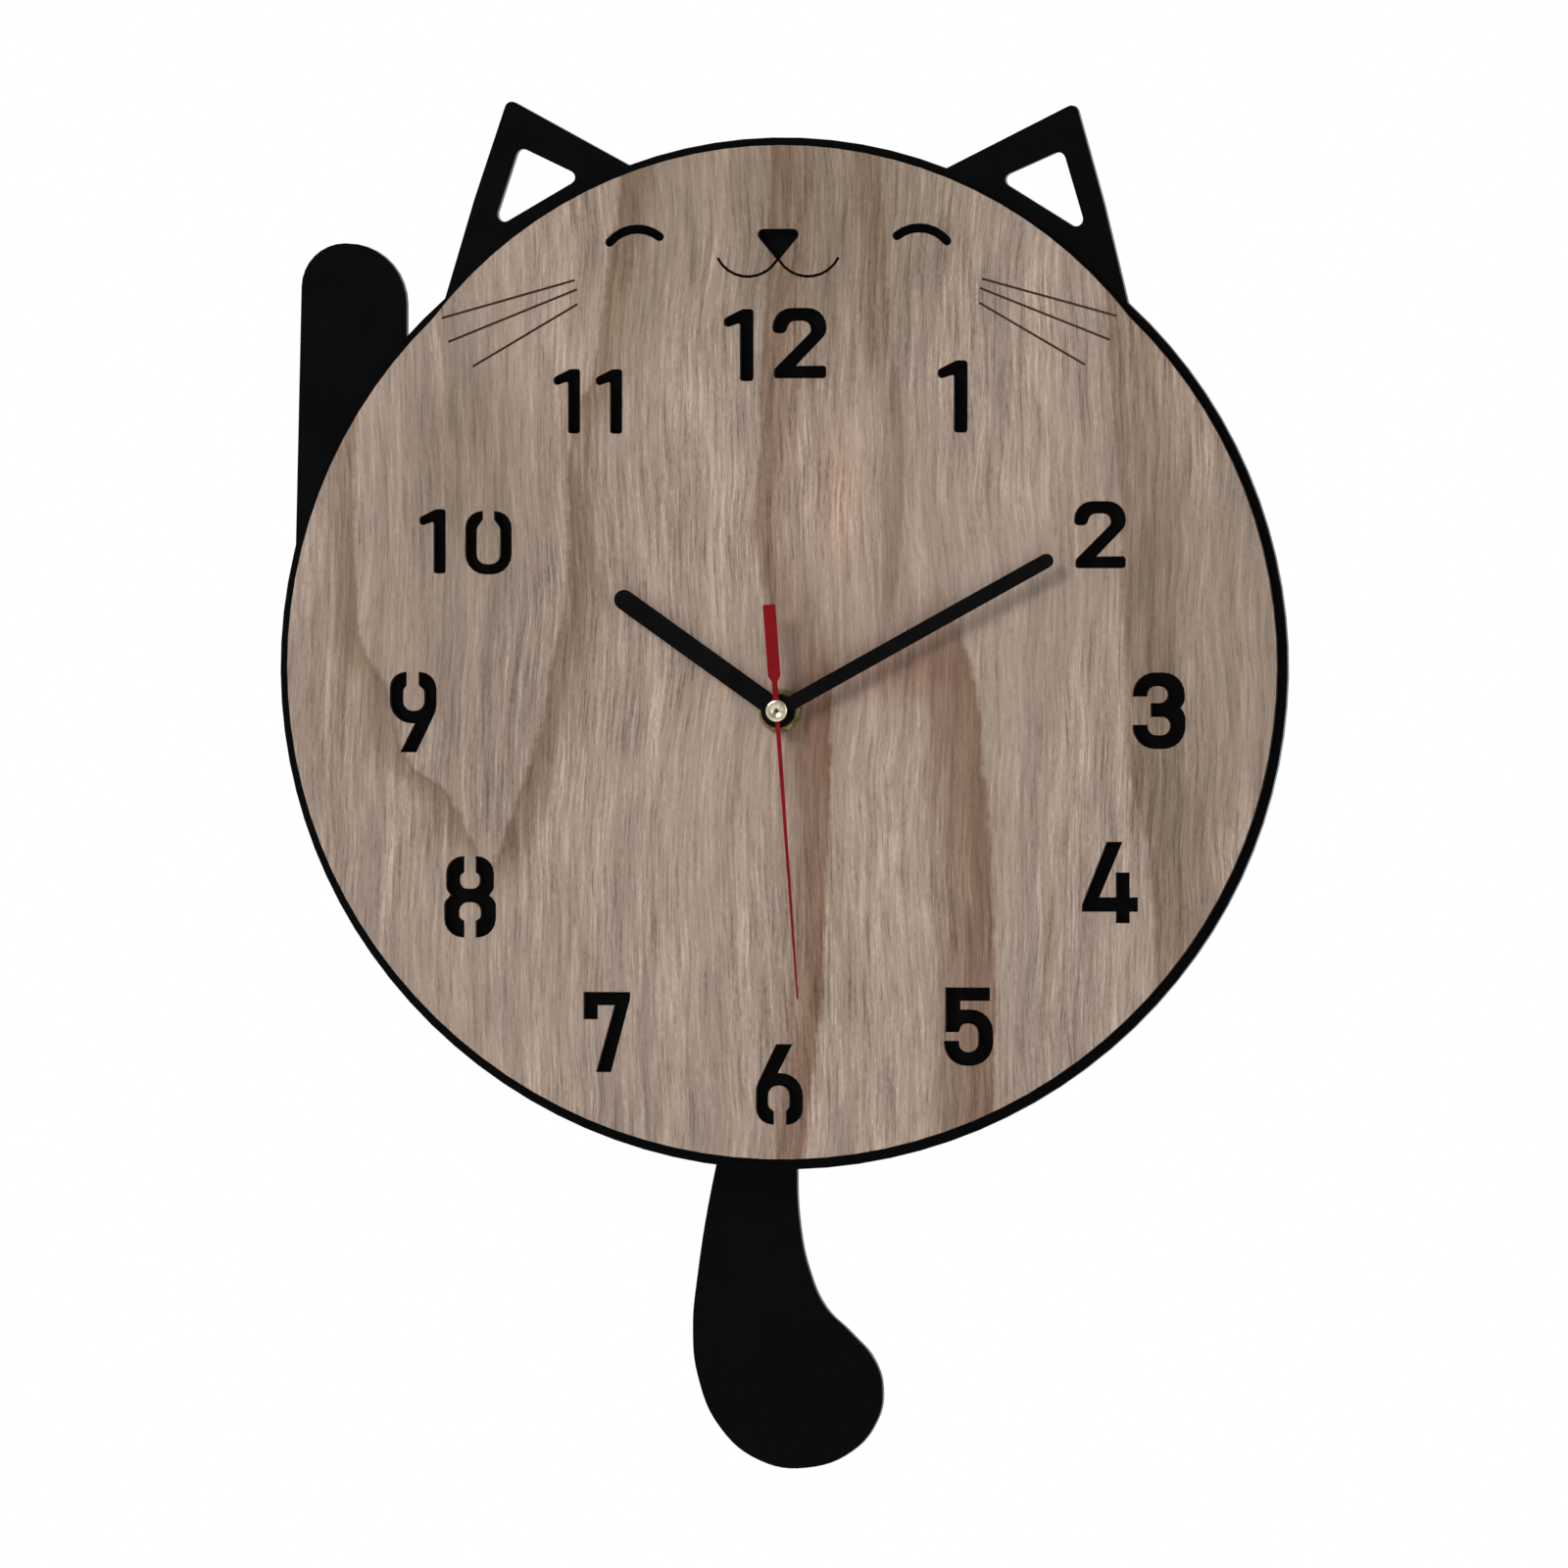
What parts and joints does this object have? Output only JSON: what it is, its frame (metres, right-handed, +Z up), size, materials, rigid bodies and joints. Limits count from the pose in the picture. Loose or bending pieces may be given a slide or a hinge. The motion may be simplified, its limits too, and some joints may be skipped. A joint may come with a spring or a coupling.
{
  "type": "wall clock",
  "caption": "Wall clock with a cat's face on a round wooden dial, a black plate with ears and a raised paw, and a swinging tail as its pendulum.",
  "frame": {"origin": "hand axis, in the plane of the wall, at the centre of the movement's flat back", "axes": "+Z up the dial towards twelve, +Y from the dial back to the wall, +X to the right as seen from the front"},
  "size_m": [0.2982, 0.031, 0.399],
  "materials": {
    "oak_veneer": "matte oiled veneer, grey brown",
    "black_acrylic": "satin",
    "hand_black": "satin lacquer",
    "hand_red": "gloss lacquer",
    "brass": "turned",
    "steel": "bright",
    "case_plastic": "moulded, fine texture",
    "gear_plastic": "moulded",
    "rubber": "matte",
    "copper_wire": "enamelled copper wire",
    "board": "solder mask",
    "magnet": "sintered",
    "battery_jacket": "plain printed jacket"
  },
  "bodies": {
    "clock_body": {"face_disc": "oak_veneer", "back_plate": "black_acrylic", "rubber_gasket": "rubber", "dial_washer": "brass", "mounting_nut": "brass", "threaded_bush": "brass", "front_case": "case_plastic", "back_cover": "case_plastic", "middle_plate": "gear_plastic", "hanger": "steel", "battery_contact_positive": "steel", "battery_contact_negative": "steel", "circuit_board": "board", "ic_blob": "case_plastic", "quartz_crystal": "steel", "coil_bobbin": "gear_plastic", "coil_winding": "copper_wire", "coil_core": "steel", "stator": "steel", "lever_pivot_pin": "steel", "drive_coil_bobbin": "gear_plastic", "drive_coil_winding": "copper_wire"},
    "seconds": {"second_wheel": "gear_plastic", "second_hand": "hand_red", "second_hand_hub": "brass"},
    "rotor": {"rotor_magnet": "magnet", "rotor_pinion": "gear_plastic"},
    "intermediate": {"intermediate_wheel": "gear_plastic"},
    "third": {"third_wheel": "gear_plastic"},
    "minutes": {"centre_wheel": "gear_plastic", "cannon_pinion": "brass", "minute_hand": "hand_black"},
    "motion_work": {"minute_wheel": "gear_plastic", "setting_knob": "case_plastic"},
    "hours": {"hour_wheel": "gear_plastic", "hour_hand": "hand_black"},
    "pendulum": {"tail_lever": "gear_plastic", "lever_magnet": "magnet", "tail": "black_acrylic"},
    "cell": {"battery": "battery_jacket"}
  },
  "joints": [
    {"name": "second_spin", "type": "hinge", "parent": "clock_body", "child": "seconds", "pos_m": [0, -0.0075, 0], "axis": [0, 1, 0], "continuous": true},
    {"name": "rotor_spin", "type": "hinge", "parent": "clock_body", "child": "rotor", "pos_m": [0.00089, -0.006, 0.01196], "axis": [0, 1, 0], "continuous": true},
    {"name": "intermediate_spin", "type": "hinge", "parent": "clock_body", "child": "intermediate", "pos_m": [0.00181, -0.006, 0.00676], "axis": [0, 1, 0], "continuous": true},
    {"name": "third_spin", "type": "hinge", "parent": "clock_body", "child": "third", "pos_m": [-0.00799, -0.0087, 0.00291], "axis": [0, 1, 0], "continuous": true},
    {"name": "minute_spin", "type": "hinge", "parent": "clock_body", "child": "minutes", "pos_m": [0, -0.0116, 0], "axis": [0, 1, 0], "continuous": true},
    {"name": "motion_work_spin", "type": "hinge", "parent": "clock_body", "child": "motion_work", "pos_m": [0.00846, -0.013, 0.00308], "axis": [0, 1, 0], "continuous": true},
    {"name": "hour_spin", "type": "hinge", "parent": "clock_body", "child": "hours", "pos_m": [0, -0.0148, 0], "axis": [0, 1, 0], "continuous": true},
    {"name": "tail_swing", "type": "hinge", "parent": "clock_body", "child": "pendulum", "pos_m": [0, -0.0062, -0.033], "axis": [0, 1, 0], "range_deg": [-8, 8]},
    {"name": "battery_out", "type": "slide", "parent": "clock_body", "child": "cell", "axis": [0, 1, 0], "range_m": [0, 0.025]}
  ],
  "couplings": [
    {"joint": "rotor_spin", "follows": "second_spin", "ratio": 30},
    {"joint": "intermediate_spin", "follows": "second_spin", "ratio": -6},
    {"joint": "third_spin", "follows": "second_spin", "ratio": -0.13333},
    {"joint": "minute_spin", "follows": "second_spin", "ratio": 0.016667},
    {"joint": "motion_work_spin", "follows": "second_spin", "ratio": -0.0055556},
    {"joint": "hour_spin", "follows": "second_spin", "ratio": 0.0013889}
  ]
}
